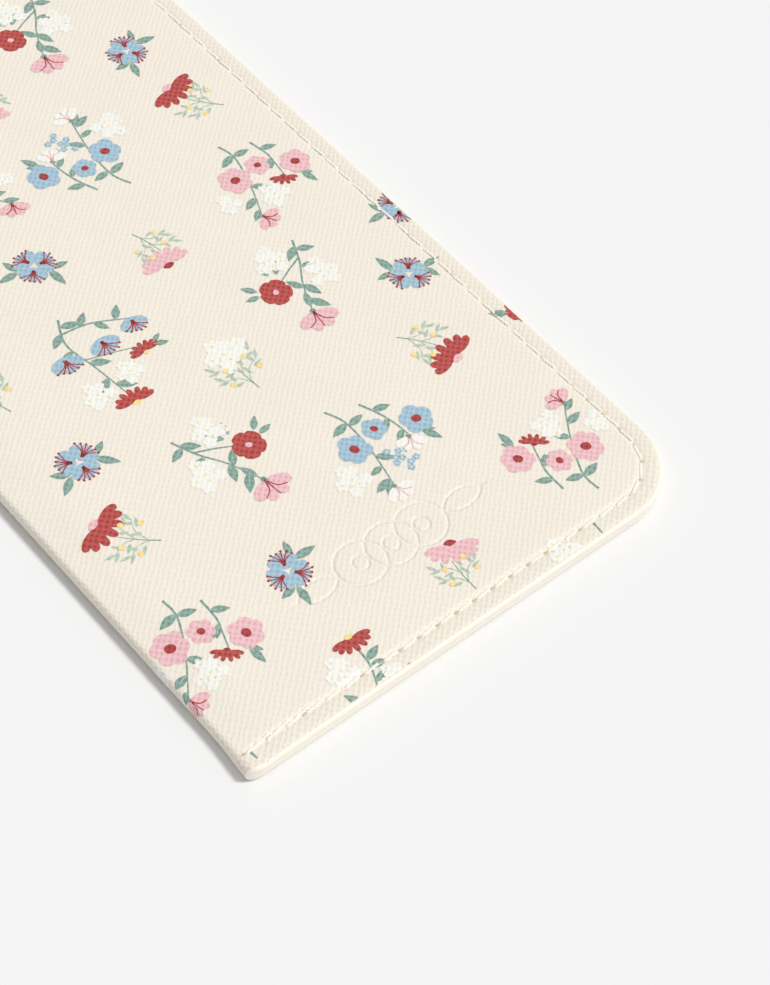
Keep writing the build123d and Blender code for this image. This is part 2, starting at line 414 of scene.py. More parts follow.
class Nodes:
    """Short ways to add and join shader nodes."""

    def __init__(self, name, roughness, specular):
        self.material = bpy.data.materials.new(name)
        self.material.use_nodes = True
        self.tree = self.material.node_tree
        self.shader = self.tree.nodes["Principled BSDF"]
        self.shader.inputs["Roughness"].default_value = roughness
        self.shader.inputs["Specular IOR Level"].default_value = specular

    def add(self, kind, **settings):
        """A new node with some of its settings changed."""
        node = self.tree.nodes.new(kind)
        for key, value in settings.items():
            setattr(node, key, value)
        return node

    def plug(self, socket, value):
        """Links an output to a socket, or gives the socket a constant."""
        if isinstance(value, bpy.types.NodeSocket):
            self.tree.links.new(value, socket)
        else:
            socket.default_value = value

    def math(self, operation, first, second=0.0, third=0.0):
        """The result of one arithmetic step."""
        node = self.add("ShaderNodeMath", operation=operation)
        for socket, value in zip(node.inputs, (first, second, third)):
            self.plug(socket, value)
        return node.outputs[0]

    def scaled(self, value, factor, offset):
        """value * factor + offset"""
        return self.math("MULTIPLY_ADD", value, factor, offset)

    def mix(self, share, first, second):
        """A colour between two others."""
        node = self.add("ShaderNodeMix", data_type="RGBA")
        self.plug(node.inputs["Factor"], share)
        self.plug(node.inputs[6], first)
        self.plug(node.inputs[7], second)
        return node.outputs[2]

    def noise(self, vector, scale, detail):
        """Soft random values, about scale of them to each unit."""
        node = self.add("ShaderNodeTexNoise")
        self.plug(node.inputs["Vector"], vector)
        node.inputs["Scale"].default_value = scale
        node.inputs["Detail"].default_value = detail
        return node.outputs["Fac"]

    def finish(self, colour, height, depth):
        """Gives the surface its colour and a bump of a depth in millimetres, and returns the material."""
        bump = self.add("ShaderNodeBump")
        bump.inputs["Strength"].default_value = 1.0
        bump.inputs["Distance"].default_value = depth * MM
        self.plug(bump.inputs["Height"], height)
        self.plug(self.shader.inputs["Base Color"], colour)
        self.plug(self.shader.inputs["Normal"], bump.outputs["Normal"])
        return self.material


def grain(nodes):
    """The embossed crosshatch, in the sheet's flat coordinates: (height, painted shade for troughs and pits,
    pits, coordinates).
    """
    flat = nodes.add("ShaderNodeUVMap", uv_map="flat").outputs["UV"]
    wobble = nodes.add("ShaderNodeTexNoise", noise_dimensions="2D")
    wobble.inputs["Scale"].default_value = WOBBLE_SCALE
    wobble.inputs["Detail"].default_value = 3.0
    nodes.plug(wobble.inputs["Vector"], flat)
    moved = nodes.add("ShaderNodeVectorMath", operation="MULTIPLY_ADD")
    nodes.plug(moved.inputs[0], wobble.outputs["Color"])
    moved.inputs[1].default_value = (GRAIN_WOBBLE,) * 3
    nodes.plug(moved.inputs[2], flat)
    troughs = []
    for pitch, angle in GRAIN_LINES:
        across = nodes.add("ShaderNodeVectorMath", operation="DOT_PRODUCT")
        nodes.plug(across.inputs[0], moved.outputs[0])
        turn = math.radians(angle)
        around = 2 * math.pi / pitch
        across.inputs[1].default_value = (math.cos(turn) * around, math.sin(turn) * around, 0.0)
        wave = nodes.math("COSINE", across.outputs["Value"])
        troughs.append(nodes.scaled(wave, -0.5, 0.5))
    columns, rows = (nodes.math("POWER", trough, TROUGH_POWER) for trough in troughs)
    pits = nodes.math("MULTIPLY", columns, rows)

    def weighed(column_share, row_share, pit_share):
        lines = nodes.scaled(columns, column_share, nodes.math("MULTIPLY", rows, row_share))
        return nodes.scaled(pits, pit_share, lines)

    fine = nodes.noise(flat, FINE_SCALE, 4.0)
    height = nodes.scaled(fine, FINE_SHARE, weighed(*HEIGHT_SHARES))
    return height, weighed(*PAINTED_SHADE_SHARES), pits, flat


def sheet_material(name, colour, pit_shade_colour, inked=True):
    """Embossed faux leather, plain or under one ink of the print, its troughs and pits painted darker as
    shade.
    """
    nodes = Nodes(name, SHEET_ROUGHNESS, 0.35)
    height, shade, pits, flat = grain(nodes)
    patch = nodes.noise(flat, PATCH_SCALE, 3.0)
    speckle = nodes.noise(flat, SPECKLE_SCALE, 3.0)
    flange = nodes.add("ShaderNodeAttribute", attribute_name="flange").outputs["Fac"]
    # On plain sheet the troughs' painted shade grows over the flange, as painted shade for its slope down to
    # the edge.
    if not inked:
        strength = nodes.scaled(flange, FLANGE_PAINTED_SHADE, SHEET_PAINTED_SHADE)
        shade = nodes.math("MULTIPLY", shade, nodes.math("MULTIPLY", strength, speckle))
    # The colour darkens towards the second one in the troughs and pits: painted shade.
    tone = nodes.mix(shade, srgb(*colour), srgb(*pit_shade_colour))
    warm = nodes.add("ShaderNodeHueSaturation")
    nodes.plug(warm.inputs["Color"], tone)
    nodes.plug(warm.inputs["Value"], nodes.scaled(patch, 0.05, 0.975))
    nodes.plug(nodes.shader.inputs["Roughness"], nodes.scaled(pits, 0.15, SHEET_ROUGHNESS))
    relief_share = nodes.scaled(flange, 0.25, 1.0)
    return nodes.finish(warm.outputs["Color"], nodes.math("MULTIPLY", height, relief_share), GRAIN_DEPTH)


def mark_flange(piece):
    """Says how far each vertex lies on the flange outside the seam, for the material, which paints shade
    there and deepens the bump.
    """
    flange = piece.data.attributes.new("flange", "FLOAT", "POINT")
    values = []
    for vertex in piece.data.vertices:
        edge = edge_distance(vertex.co.x / MM, vertex.co.y / MM)
        values.append(smooth((SEAM_INSET + FLANGE_START - edge) / FLANGE_FADE))
    flange.data.foreach_set("value", values)


def plain_material(name, colour, second, roughness, noise_size, depth, specular, sheen=0.0):
    """A surface with soft colour changes and a fine bump. Sizes are in millimetres."""
    nodes = Nodes(name, roughness, specular)
    nodes.shader.inputs["Sheen Weight"].default_value = sheen
    place = nodes.add("ShaderNodeTexCoord").outputs["Object"]
    fine = nodes.noise(place, 1 / (noise_size * MM), 4.0)
    broad = nodes.noise(place, 1 / (12 * noise_size * MM), 2.0)
    share = nodes.scaled(fine, 0.5, nodes.math("MULTIPLY", broad, 0.5))
    return nodes.finish(nodes.mix(share, srgb(*colour), srgb(*second)), fine, depth)


def woven_material(name, colour, second, pitch):
    """A fine plain weave, for the lining and the fold tape."""
    nodes = Nodes(name, 0.85, 0.2)
    nodes.shader.inputs["Sheen Weight"].default_value = 0.25
    place = nodes.add("ShaderNodeTexCoord").outputs["Object"]
    split = nodes.add("ShaderNodeSeparateXYZ")
    nodes.plug(split.inputs[0], place)
    around = 2 * math.pi / (pitch * MM)
    warp, weft = (nodes.math("SINE", nodes.math("MULTIPLY", split.outputs[k], around)) for k in (0, 1))
    height = nodes.math("MULTIPLY", warp, weft)
    share = nodes.scaled(height, 0.5, 0.5)
    return nodes.finish(nodes.mix(share, srgb(*colour), srgb(*second)), height, 0.03)


# --- the flower print

# Each ink: its own colour, then a darker one painted into the grain's troughs and pits as shade.
INKS = {
    "red": ((196, 88, 82), (142, 42, 45)),
    "maroon": ((178, 74, 71), (134, 42, 45)),
    "pink": ((241, 199, 202), (222, 164, 172)),
    "blue": ((173, 201, 213), (134, 170, 198)),
    "leaf": ((145, 173, 162), (100, 137, 127)),
    "sage": ((190, 208, 189), (154, 184, 163)),
    "yellow": ((251, 227, 158), (241, 207, 126)),
    "white": ((245, 245, 238), (240, 238, 228)),
}
INK_LIFT, LAYER_LIFT = 0.032, 0.007
STEM, LEAF, BACKING, PETAL, HEART, DETAIL = range(6)
LEAF_GROWTH, LEAF_SLIMNESS = 1.62, 0.42
LOBE_POINTS, DOT_POINTS, CURVE_STEPS = 8, 14, 8
ROUND_PETAL_STEPS, LEAF_STEPS = 14, 9
STEM_WIDTH, RIB_WIDTH, LINE_WIDTH, SPRIG_WIDTH = 0.4, 0.13, 0.27, 0.2
FLORETS, FLORET_RADIUS = 9, 0.66
FAN_OVERLAP = 0.2
SPIRAL = 2.4  # the turn from one small flower to the next in a head, in radians
draw = random.Random(11)


def polar(centre, angle, reach):
    """The point at an angle and a distance from a centre."""
    return (centre[0] + reach * math.cos(angle), centre[1] + reach * math.sin(angle))


def outline(count, radius_at, centre):
    """A closed outline round a centre, from a radius for each angle."""
    angles = [2 * math.pi * k / count for k in range(count)]
    return [polar(centre, angle, radius_at(angle)) for angle in angles]


def blossom(ink, centre, radius, petals, depth, layer=PETAL):
    """A flat flower seen from the front, with a lobe for each petal."""
    turn = draw.uniform(0, math.pi)

    def radius_at(angle):
        lobe = abs(math.cos(petals * (angle + turn) / 2)) ** 0.6
        return radius * (1 - depth + depth * lobe) * (1 + 0.03 * math.sin(3 * angle + turn))

    return [(ink, layer, outline(petals * LOBE_POINTS, radius_at, centre), centre)]


def dot(ink, centre, radius):
    """A round spot, a little uneven, in the top layer."""
    turn = draw.uniform(0, math.pi)
    points = outline(DOT_POINTS, lambda angle: radius * (1 + 0.08 * math.cos(2 * angle + turn)), centre)
    return [(ink, DETAIL, points, centre)]


def petal(ink, base, angle, length, width, layer, point=False):
    """One petal or leaf from its base, with a round tip or a sharp point."""
    half, steps = [], (LEAF_STEPS if point else ROUND_PETAL_STEPS)
    for k in range(steps + 1):
        along = k / steps
        belly = math.sin(math.pi * along**0.85)
        round_tip = math.sqrt(1 - max(0.0, 2 * along - 1) ** 3.6)
        share = belly if point else math.sin(math.pi / 2 * min(1, along * 1.6)) * round_tip
        half.append((along * length, share * width / 2))
    points = half + [(x, -y) for x, y in reversed(half[1:-1])]
    cos, sin = math.cos(angle), math.sin(angle)
    placed = [(base[0] + x * cos - y * sin, base[1] + x * sin + y * cos) for x, y in points]
    return [(ink, layer, placed, polar(base, angle, 0.5 * length))]


def stroke(ink, points, width, layer=STEM, taper=0.5):
    """A thin drawn line along a smooth curve through a few points."""
    curve = []
    padded = [points[0], *points, points[-1]]
    for k in range(1, len(padded) - 2):
        for step in range(CURVE_STEPS):
            curve.append(spline(padded[k - 1: k + 3], step / CURVE_STEPS))
    curve.append(points[-1])
    left, right = [], []
    for k, (x, y) in enumerate(curve):
        behind, ahead = neighbours(curve, k)
        dx, dy = ahead[0] - behind[0], ahead[1] - behind[1]
        size = math.hypot(dx, dy) or 1.0
        half = width / 2 * (1 - taper * k / len(curve))
        left.append((x - dy / size * half, y + dx / size * half))
        right.append((x + dy / size * half, y - dx / size * half))
    return [(ink, layer, list(zip(left, right)), None)]


def neighbours(points, k):
    """The points before and after one point of a line, or that point itself at an end."""
    return points[max(k - 1, 0)], points[min(k + 1, len(points) - 1)]


def spline(four, share):
    """A point between the middle two of four points (Catmull-Rom)."""
    a, b, c, d = four
    out = []
    for axis in (0, 1):
        p0, p1, p2, p3 = a[axis], b[axis], c[axis], d[axis]
        out.append(0.5 * (2 * p1 + (p2 - p0) * share + (2 * p0 - 5 * p1 + 4 * p2 - p3) * share**2
                          + (3 * p1 - p0 - 3 * p2 + p3) * share**3))
    return tuple(out)


def turned(shapes, angle, x, y, mirror=False):
    """Shapes turned (degrees) and moved, and mirrored first if asked."""
    cos, sin = math.cos(math.radians(angle)), math.sin(math.radians(angle))

    def move(point):
        px, py = -point[0] if mirror else point[0], point[1]
        return (x + px * cos - py * sin, y + px * sin + py * cos)

    out = []
    for ink, layer, points, middle in shapes:
        if middle is None:
            out.append((ink, layer, [(move(a), move(b)) for a, b in points], None))
        else:
            out.append((ink, layer, [move(point) for point in points], move(middle)))
    return out


def leaf(base, degrees, length, width, ink="leaf"):
    """A pointed leaf with a paler rib."""
    angle = math.radians(degrees)
    shapes = petal(ink, base, angle, length, width, LEAF + draw.uniform(0, 0.8), point=True)
    if ink == "leaf":
        shapes += stroke("sage", [base, polar(base, angle, 0.8 * length)], RIB_WIDTH, DETAIL, taper=0.7)
    return shapes


def leafy_stem(points, leaves):
    """A stem with leaves: each is (share along the stem, angle, length)."""
    shapes = stroke("leaf", points, STEM_WIDTH)
    padded = [points[0], *points, points[-1]]
    for share, degrees, length in leaves:
        place = share * (len(points) - 1)
        k = min(int(place), len(points) - 2)
        base = spline(padded[k: k + 4], place - k)
        shapes += leaf(base, degrees, LEAF_GROWTH * length, LEAF_SLIMNESS * LEAF_GROWTH * length)
    return shapes


def round_flower(ink, centre, radius):
    """A scalloped flower with a dark speckled eye."""
    lobes = 5 if ink == "blue" else 6
    shapes = blossom(ink, centre, radius, lobes, 0.23)
    for k in range(5):
        angle = 2 * math.pi * k / 5 + draw.uniform(-0.2, 0.2)
        speck = [polar(centre, angle, 0.42 * radius), polar(centre, angle, 0.7 * radius)]
        shapes += stroke("white", speck, 0.05, HEART, taper=0.6)
    return shapes + dot("maroon", centre, 0.28 * radius)


def five_petals(ink, centre, radius):
    """A flower of five separate round petals."""
    shapes = []
    turn = draw.uniform(0, 1.2)
    for k in range(5):
        angle = turn + 2 * math.pi * k / 5
        shapes += petal(ink, centre, angle, radius, 0.98 * radius, PETAL + 0.15 * k)
    return shapes + dot("pink", centre, 0.19 * radius)


def white_cluster(centre, radius, count=8):
    """A loose head of small white flowers with yellow eyes, each a little over the last."""
    shapes = []
    for k in range(count):
        angle = SPIRAL * k + draw.uniform(-0.2, 0.2)
        reach = radius * 0.82 * math.sqrt(k / count)
        place = (centre[0] + 1.15 * reach * math.cos(angle), centre[1] + reach * math.sin(angle))
        shapes += blossom("white", place, 0.4 * radius, 5, 0.42, BACKING + 0.8 * k / count)
        if k % 2 == 0:
            shapes += dot("yellow", place, 0.07 * radius)
    return shapes


def half_daisy(ink, size, heart, turn, x, y, petals=7):
    """A daisy seen from the side: round-tipped petals hanging in a fan under its heart."""
    shapes = []
    for row, reach in ((0, 1.0), (1, 0.6)):
        for k in range(petals - row):
            lean = math.radians(82 * (2 * (k + 0.5 * row) / (petals - 1) - 1))
            base = (0.24 * size * math.sin(lean), 0.06 * size)
            tip = (size * reach * math.sin(lean), -size * reach * (0.7 * math.cos(lean) + 0.05))
            length = math.dist(base, tip)
            angle = math.atan2(tip[1] - base[1], tip[0] - base[0])
            shapes += petal(ink, base, angle, length, 0.29 * size, PETAL + row + 0.9 * k / petals)
    middle = (0.0, 0.1 * size)
    eye = outline(DOT_POINTS, lambda angle: 0.24 * size / (1 + 0.9 * abs(math.sin(angle))), middle)
    shapes.append((heart, DETAIL, eye, middle))
    return turned(shapes, turn, x, y)


def fan(ink, base, degrees, leans, length, width):
    """Petals from one base, each a little over the last."""
    shapes = []
    for k, lean in enumerate(leans):
        shapes += petal(ink, base, math.radians(degrees + lean), length, width, PETAL + FAN_OVERLAP * k)
    return shapes


def tulip(ink, base, degrees, size):
    """A half-open flower: four round-tipped petals with darker lines over them."""
    shapes = fan(ink, base, degrees, (-54, 54, -19, 19), size, 0.48 * size)
    for lean in (-38, 2, 40):
        angle, bend = math.radians(degrees + lean), math.radians(degrees + 0.55 * lean)
        vein = [base, polar(base, bend, 0.5 * size), polar(base, angle, 0.84 * size)]
        shapes += stroke("pink" if ink == "white" else "maroon", vein, LINE_WIDTH, DETAIL, taper=0.4)
    return shapes + dot("leaf", base, 0.13 * size)


def stamen_fan(centre, degrees, size):
    """A blue fan with a tuft of red stamens that end in dots."""
    back = polar(centre, math.radians(degrees), -0.1 * size)
    shapes = fan("blue", back, degrees, (-40, 40, 0), 1.05 * size, 0.7 * size)
    for lean in (-42, -26, -9, 7, 24, 41):
        angle, bend = math.radians(degrees + lean), math.radians(degrees + 0.5 * lean)
        reach = size * draw.uniform(0.88, 1.04)
        end = polar(centre, angle, reach)
        stamen = [polar(centre, bend, 0.12 * size), polar(centre, bend, 0.5 * reach), end]
        shapes += stroke("maroon", stamen, 0.26, HEART, taper=0.3)
        shapes += dot("maroon", end, 0.21)
    return shapes


def sprig(base, degrees, size):
    """A fine pale sprig with yellow buds."""
    shapes = []
    heading = math.radians(degrees)

    def along(reach, side):
        x = reach * math.cos(heading) - side * math.sin(heading)
        y = reach * math.sin(heading) + side * math.cos(heading)
        return (base[0] + x, base[1] + y)

    shapes += stroke("leaf", [along(0, 0), along(0.5 * size, 0.03 * size), along(size, 0)], SPRIG_WIDTH)
    for reach, side in ((0.2, 1), (0.3, -1), (0.55, 1), (0.6, -1)):
        start, end = along(reach * size, 0), along((reach + 0.42) * size, side * 0.5 * size)
        middle = along((reach + 0.3) * size, side * 0.2 * size)
        shapes += stroke("sage", [start, middle, end], SPRIG_WIDTH)
        for share, turn in ((0.35, 50), (0.6, -40), (0.8, 45), (1.0, 0)):
            place = spline([start, start, end, end], share)
            shapes += leaf(place, degrees + side * 35 + turn, 0.3 * size, 0.085 * size, "sage")
    for reach, side in ((0.42, 0.42), (0.5, -0.44), (0.86, 0.3), (0.95, -0.32)):
        shapes += dot("yellow", along(reach * size, side * size), 0.075 * size)
    return shapes


def florets(centre):
    """Tiny blue flowers scattered in a loose slanting head."""
    shapes = []
    for k in range(FLORETS):
        angle, reach = SPIRAL * k, math.sqrt(k)
        x = centre[0] + 0.75 * reach * math.cos(angle) - 0.35 * reach * math.sin(angle)
        y = centre[1] + 0.95 * reach * math.sin(angle)
        shapes += blossom("blue", (x, y), FLORET_RADIUS, 5, 0.45)
        shapes += dot("white", (x, y), 0.13)
    return shapes


def pink_posy():
    """Three pink flowers, a red half daisy, a tulip and white clusters on two stems."""
    shapes = leafy_stem([(0.1, 9.0), (0.0, 5.2), (-3.3, -1.0), (-7.2, -6.6)],
                        [(0.28, 192, 2.2), (0.3, -16, 2.0), (0.66, -50, 2.0), (0.78, 192, 2.1),
                         (0.9, 205, 1.8)])
    shapes += leafy_stem([(4.6, 5.8), (4.5, 2.0), (3.9, 0.0), (2.6, -3.6)],
                         [(0.2, -28, 1.9), (0.5, 225, 1.7), (0.62, 200, 1.6)])
    shapes += leaf((5.2, -5.0), -85, 3.4, 1.3) + leaf((5.2, -4.8), -50, 2.2, 1.0)
    shapes += white_cluster((-1.9, -4.9), 2.7) + white_cluster((-8.9, -0.8), 2.2)
    shapes += round_flower("pink", (-4.0, 1.8), 3.0) + round_flower("pink", (1.3, 1.4), 2.2)
    shapes += round_flower("pink", (6.4, -2.7), 2.8)
    shapes += half_daisy("red", 2.5, "maroon", -38, 2.2, -3.5, 6)
    return shapes + tulip("pink", (-7.2, -6.6), 285, 3.2)


def blue_posy():
    """Three blue flowers, florets, two white tulips and a white cluster on two stems."""
    shapes = leafy_stem([(-4.1, 9.4), (-2.7, 5.8), (-3.0, -0.6), (-4.6, -8.3)],
                        [(0.34, 195, 2.2), (0.38, 10, 2.0), (0.72, -42, 2.0), (0.8, 190, 1.7),
                         (0.9, 195, 2.2), (0.92, 220, 1.8)])
    shapes += leafy_stem([(1.3, 7.5), (2.9, 3.6), (3.7, -0.4), (3.6, -2.4)],
                         [(0.2, -15, 2.0), (0.4, 225, 1.7), (0.66, 215, 1.7), (0.8, 235, 1.7)])
    shapes += leaf((6.0, -2.2), -62, 3.6, 1.4) + leaf((5.8, -2.0), -30, 2.6, 1.1)
    shapes += white_cluster((-9.0, -3.3), 3.0) + florets((0.0, -4.6))
    shapes += round_flower("blue", (-5.0, 1.0), 2.85) + round_flower("blue", (0.1, 2.3), 2.15)
    shapes += round_flower("blue", (6.8, 0.0), 2.85) + tulip("white", (3.6, -2.0), 245, 3.0)
    return shapes + tulip("white", (-4.6, -8.0), 280, 3.2)


def red_spray():
    """A red flower and a pink tulip on a branching stem with white clusters."""
    shapes = leafy_stem([(-6.2, 8.6), (-4.2, 4.2), (-1.6, 0.2), (0.9, -5.4)],
                        [(0.12, -35, 2.2), (0.16, 205, 2.0), (0.4, 205, 2.1), (0.68, 250, 2.2),
                         (0.72, 60, 2.0), (0.84, 235, 2.4), (0.92, 110, 2.0)])
    shapes += stroke("leaf", [(-4.6, 5.0), (-1.2, 3.6), (2.0, 2.0)], 0.36)
    shapes += leaf((5.6, 3.0), 50, 2.9, 1.2) + leaf((5.9, 2.0), 10, 2.6, 1.1)
    shapes += leaf((0.8, 4.2), 130, 3.2, 1.3) + leaf((1.9, 4.6), 80, 2.6, 1.1)
    shapes += white_cluster((-0.2, 7.2), 3.0) + white_cluster((-5.6, 0.6), 3.1)
    return shapes + five_petals("red", (3.2, 1.2), 2.8) + tulip("pink", (0.9, -5.4), 275, 4.3)


def blue_star():
    """Three blue fans round a point, between four leaves."""
    shapes = leaf((2.3, -0.7), -46, 4.2, 1.5) + leaf((2.9, -0.3), 32, 2.9, 1.2)
    shapes += leaf((-2.5, -1.3), 146, 3.2, 1.3) + leaf((-2.5, -1.5), 219, 3.9, 1.4)
    for degrees in (150, 30, 268):
        shapes += stamen_fan(polar((0, 0), math.radians(degrees), 0.65), degrees, 3.0)
    return shapes


def red_daisy_sprig():
    """A red half daisy on a pale sprig."""
    shapes = sprig((4.4, -4.8), 138, 6.6)
    return shapes + half_daisy("red", 5.0, "pink", 26, -1.8, 3.0)


def pink_daisy_sprig():
    """A pink half daisy on a pale sprig."""
    shapes = sprig((-1.4, -5.4), 86, 6.0)
    return shapes + half_daisy("pink", 4.5, "maroon", -20, 0.8, 2.8)


def white_sprig():
    """A white cluster on a pale sprig."""
    return sprig((0.4, -6.2), 92, 6.8) + white_cluster((0.0, 2.4), 3.6, 9)


def tall_spray():
    """Three blue fans, two red half daisies and white clusters on an arched stem."""
    shapes = leafy_stem([(-3.0, 11.4), (-5.0, 6.4), (-4.0, 0.0), (-3.0, -7.6)],
                        [(0.12, -20, 2.2), (0.2, 215, 2.1), (0.42, 205, 2.0), (0.6, -30, 2.2),
                         (0.78, 215, 2.1), (0.84, -35, 2.2)])
    shapes += leafy_stem([(-4.7, 8.6), (0.6, 7.9), (6.2, 5.2)],
                         [(0.35, 40, 2.0), (0.55, -60, 1.8), (0.8, 50, 2.0)])
    shapes += stroke("leaf", [(-4.4, 2.2), (1.0, 0.6), (6.4, -1.2)], 0.24)
    shapes += leaf((6.2, -1.4), -20, 2.6, 1.1) + leaf((6.4, -1.0), 25, 2.2, 0.9)
    shapes += white_cluster((-7.0, -4.6), 2.7) + white_cluster((-0.2, -3.6), 2.3)
    shapes += stamen_fan((-7.0, 4.4), 262, 3.4) + stamen_fan((-0.2, 4.2), 275, 3.4)
    shapes += stamen_fan((6.4, 5.0), 265, 3.0)
    shapes += half_daisy("red", 2.8, "yellow", 184, 4.4, -1.8)
    return shapes + half_daisy("red", 3.5, "yellow", 176, -2.9, -9.0)


def edge_posy():
    """A red half daisy over white clusters, at the seam."""
    shapes = leafy_stem([(0.5, 2.6), (0.0, -1.6), (-2.2, -6.0)],
                        [(0.35, 20, 2.0), (0.45, -10, 1.8), (0.7, 10, 1.9)])
    shapes += leaf((-4.6, -5.6), 118, 3.4, 1.3)
    shapes += white_cluster((-3.9, 0.6), 2.7) + white_cluster((2.2, -4.6), 2.6)
    return shapes + half_daisy("red", 3.4, "yellow", -4, 0.7, 4.2)


def cut_whites():
    """A white cluster and the end of a stem, cut by the edge."""
    return white_cluster((0, 0), 2.7) + stroke("leaf", [(7.2, 1.0), (7.0, -1.6)], 0.4)


def cut_red():
    """A red flower with one leaf, cut by the edge."""
    return leaf((-2.4, 0.6), 150, 3.4, 1.5) + five_petals("red", (0, 0), 2.9)


def cut_stem():
    """A short end of a stem."""
    return stroke("leaf", [(0, 0.7), (0.1, -0.7)], 0.45)


# Where the motifs stand: (motif, stitches from the fold, stitches from the closed end, turn in degrees).
# A few are mirrored. Each stands on the back too, turned half round.
LAYOUT = [
    (cut_stem, 0.8, 0.5, 0), (cut_red, 8.3, -0.7, 30), (edge_posy, 7.0, 1.2, 0),
    (pink_daisy_sprig, 13.3, 2.6, 0), (cut_whites, 17.2, 0.4, 0), (pink_posy, 2.3, 5.8, 0),
    (blue_star, 7.3, 6.4, 46), (pink_posy, 20.6, 4.3, 180), (blue_posy, 14.9, 9.3, 0),
    (red_daisy_sprig, 2.9, 12.0, 0), (red_spray, 9.2, 12.1, 0), (red_daisy_sprig, 20.1, 11.8, 172),
    (cut_red, 24.8, 11.3, 0), (white_sprig, 12.3, 16.3, 0), (blue_star, 3.8, 15.9, 0),
    (blue_star, 22.0, 15.8, 146), (red_spray, 17.3, 18.1, 0, "mirrored"), (tall_spray, 8.5, 19.6, 0),
    (blue_star, 24.4, 19.3, -34), (pink_daisy_sprig, 13.5, 23.4, 200), (pink_posy, 20.4, 24.6, 12),
    (blue_star, 8.7, 25.9, -38), (blue_posy, 14.1, 30.1, 180), (red_daisy_sprig, 20.8, 30.5, -6),
    (blue_star, 20.3, 34.6, 37), (red_spray, 17.1, 38.0, 0, "mirrored"), (white_sprig, 2.7, 21.4, 10),
    (red_spray, 3.2, 26.8, 190), (pink_posy, 8.1, 31.4, 0, "mirrored"),
    (red_daisy_sprig, 2.5, 32.0, -10), (pink_daisy_sprig, 12.4, 35.4, 180), (blue_posy, 6.4, 37.4, 180),
    (blue_star, 1.6, 37.0, 40), (blue_star, 12.4, 40.6, 0), (white_sprig, 22.6, 41.2, 0),
    (pink_posy, 3.0, 42.6, 180), (red_daisy_sprig, 17.6, 43.0, 180, "mirrored"),
    (edge_posy, 8.6, 43.4, 200),
]
PRINT_START, PRINT_INSET = 0.5, 0.35
FINE_EDGE, FINE_ORNAMENT, FINE_FOLD, FINE_FLAT = 0.34, 0.26, 0.5, 2.2
SEAM_ZONE, FOLD_ZONE = 6.6, 3.0
HALVINGS = 5


def printed_shapes():
    """Every drawn shape of the print in flat coordinates, on the front, round the fold and on the back."""
    shapes = []
    for motif, across, along, turn, *mirrored in LAYOUT:
        s, t = across * STITCH - FOLD_RADIUS, along * STITCH - HALF_LENGTH + PRINT_START
        shapes += turned(motif(), turn, s, t, mirrored)
        shapes += turned(motif(), turn + 180, -FOLD_ARC - s, -t, mirrored)
    return shapes


def edge_limit(s, t):
    """The longest edge that still follows the relief at a flat place."""
    if -FOLD_ARC < s < FOLD_ZONE:
        return FINE_FOLD
    x = FOLD_X + s if s >= 0 else FOLD_X - s - FOLD_ARC
    in_ornament = s > 0 and abs(x - ORNAMENT_X) < ORNAMENT_HALF[0] and abs(t - ORNAMENT_Y) < ORNAMENT_HALF[1]
    if in_ornament:
        return FINE_ORNAMENT
    return FINE_EDGE if edge_distance(x, t) < SEAM_ZONE else FINE_FLAT


def draw_flat(bm, ink, shapes):
    """Adds the faces of one ink, still flat, each shape at the height of its layer."""
    for name, layer, points, middle in shapes:
        if name != ink:
            continue
        height = INK_LIFT + LAYER_LIFT * layer
        if middle is None:
            pairs = [(bm.verts.new((*a, height)), bm.verts.new((*b, height))) for a, b in points]
            for (a, b), (c, d) in zip(pairs[:-1], pairs[1:]):
                bm.faces.new((a, b, d, c))
        else:
            hub = bm.verts.new((*middle, height))
            ring = [bm.verts.new((*point, height)) for point in points]
            for k, vertex in enumerate(ring):
                bm.faces.new((hub, ring[k - 1], vertex))


def cut_to_sheet(bm):
    """Cuts off what hangs over the sheet's edges."""
    reach, end = FRONT_FLAT - PRINT_INSET, HALF_LENGTH - FILM - PRINT_INSET
    cuts = (((reach, 0, 0), (1, 0, 0)), ((-FOLD_ARC - reach, 0, 0), (-1, 0, 0)),
            ((0, -end, 0), (0, -1, 0)), ((0, end, 0), (0, 1, 0)))
    for place, outward in cuts:
        everything = bm.verts[:] + bm.edges[:] + bm.faces[:]
        bmesh.ops.bisect_plane(bm, geom=everything, dist=1e-4, plane_co=place, plane_no=outward,
                               clear_outer=True)


def refine(bm):
    """Splits edges until they follow the relief."""
    bmesh.ops.triangulate(bm, faces=bm.faces[:])
    for _ in range(HALVINGS):
        long_edges = []
        for edge in bm.edges:
            middle = (edge.verts[0].co + edge.verts[1].co) / 2
            if edge.calc_length() > edge_limit(middle.x, middle.y):
                long_edges.append(edge)
        if not long_edges:
            break
        bmesh.ops.subdivide_edges(bm, edges=long_edges, cuts=1)
        bmesh.ops.triangulate(bm, faces=[face for face in bm.faces if len(face.verts) > 3])


def print_ink(ink, shapes, material):
    """One ink of the print, as a thin film that follows the sheet."""
    bm = bmesh.new()
    draw_flat(bm, ink, shapes)
    cut_to_sheet(bm)
    refine(bm)
    flat_uv = bm.loops.layers.uv.new("flat")
    for face in bm.faces:
        for loop in face.loops:
            loop[flat_uv].uv = loop.vert.co.xy
    for vertex in bm.verts:
        vertex.co = lay(vertex.co.x, vertex.co.y, vertex.co.z)
    bmesh.ops.recalc_face_normals(bm, faces=bm.faces[:])
    return finish_mesh("print_" + ink, bm, material)


# --- the pieces

# Steps of the cover's grid: over the seam, over and next to the ornament, and over open sheet
SEAM_STEP, ORNAMENT_STEP, NEAR_STEP, OPEN_STEP = 0.24, 0.16, 1.6, 2.2
MOUTH_STEP, BACK_SEAM_STEP, BACK_STEP = 0.3, 0.4, 3.0
FOLD_STEPS, LEAST_STEP = 14, 0.5


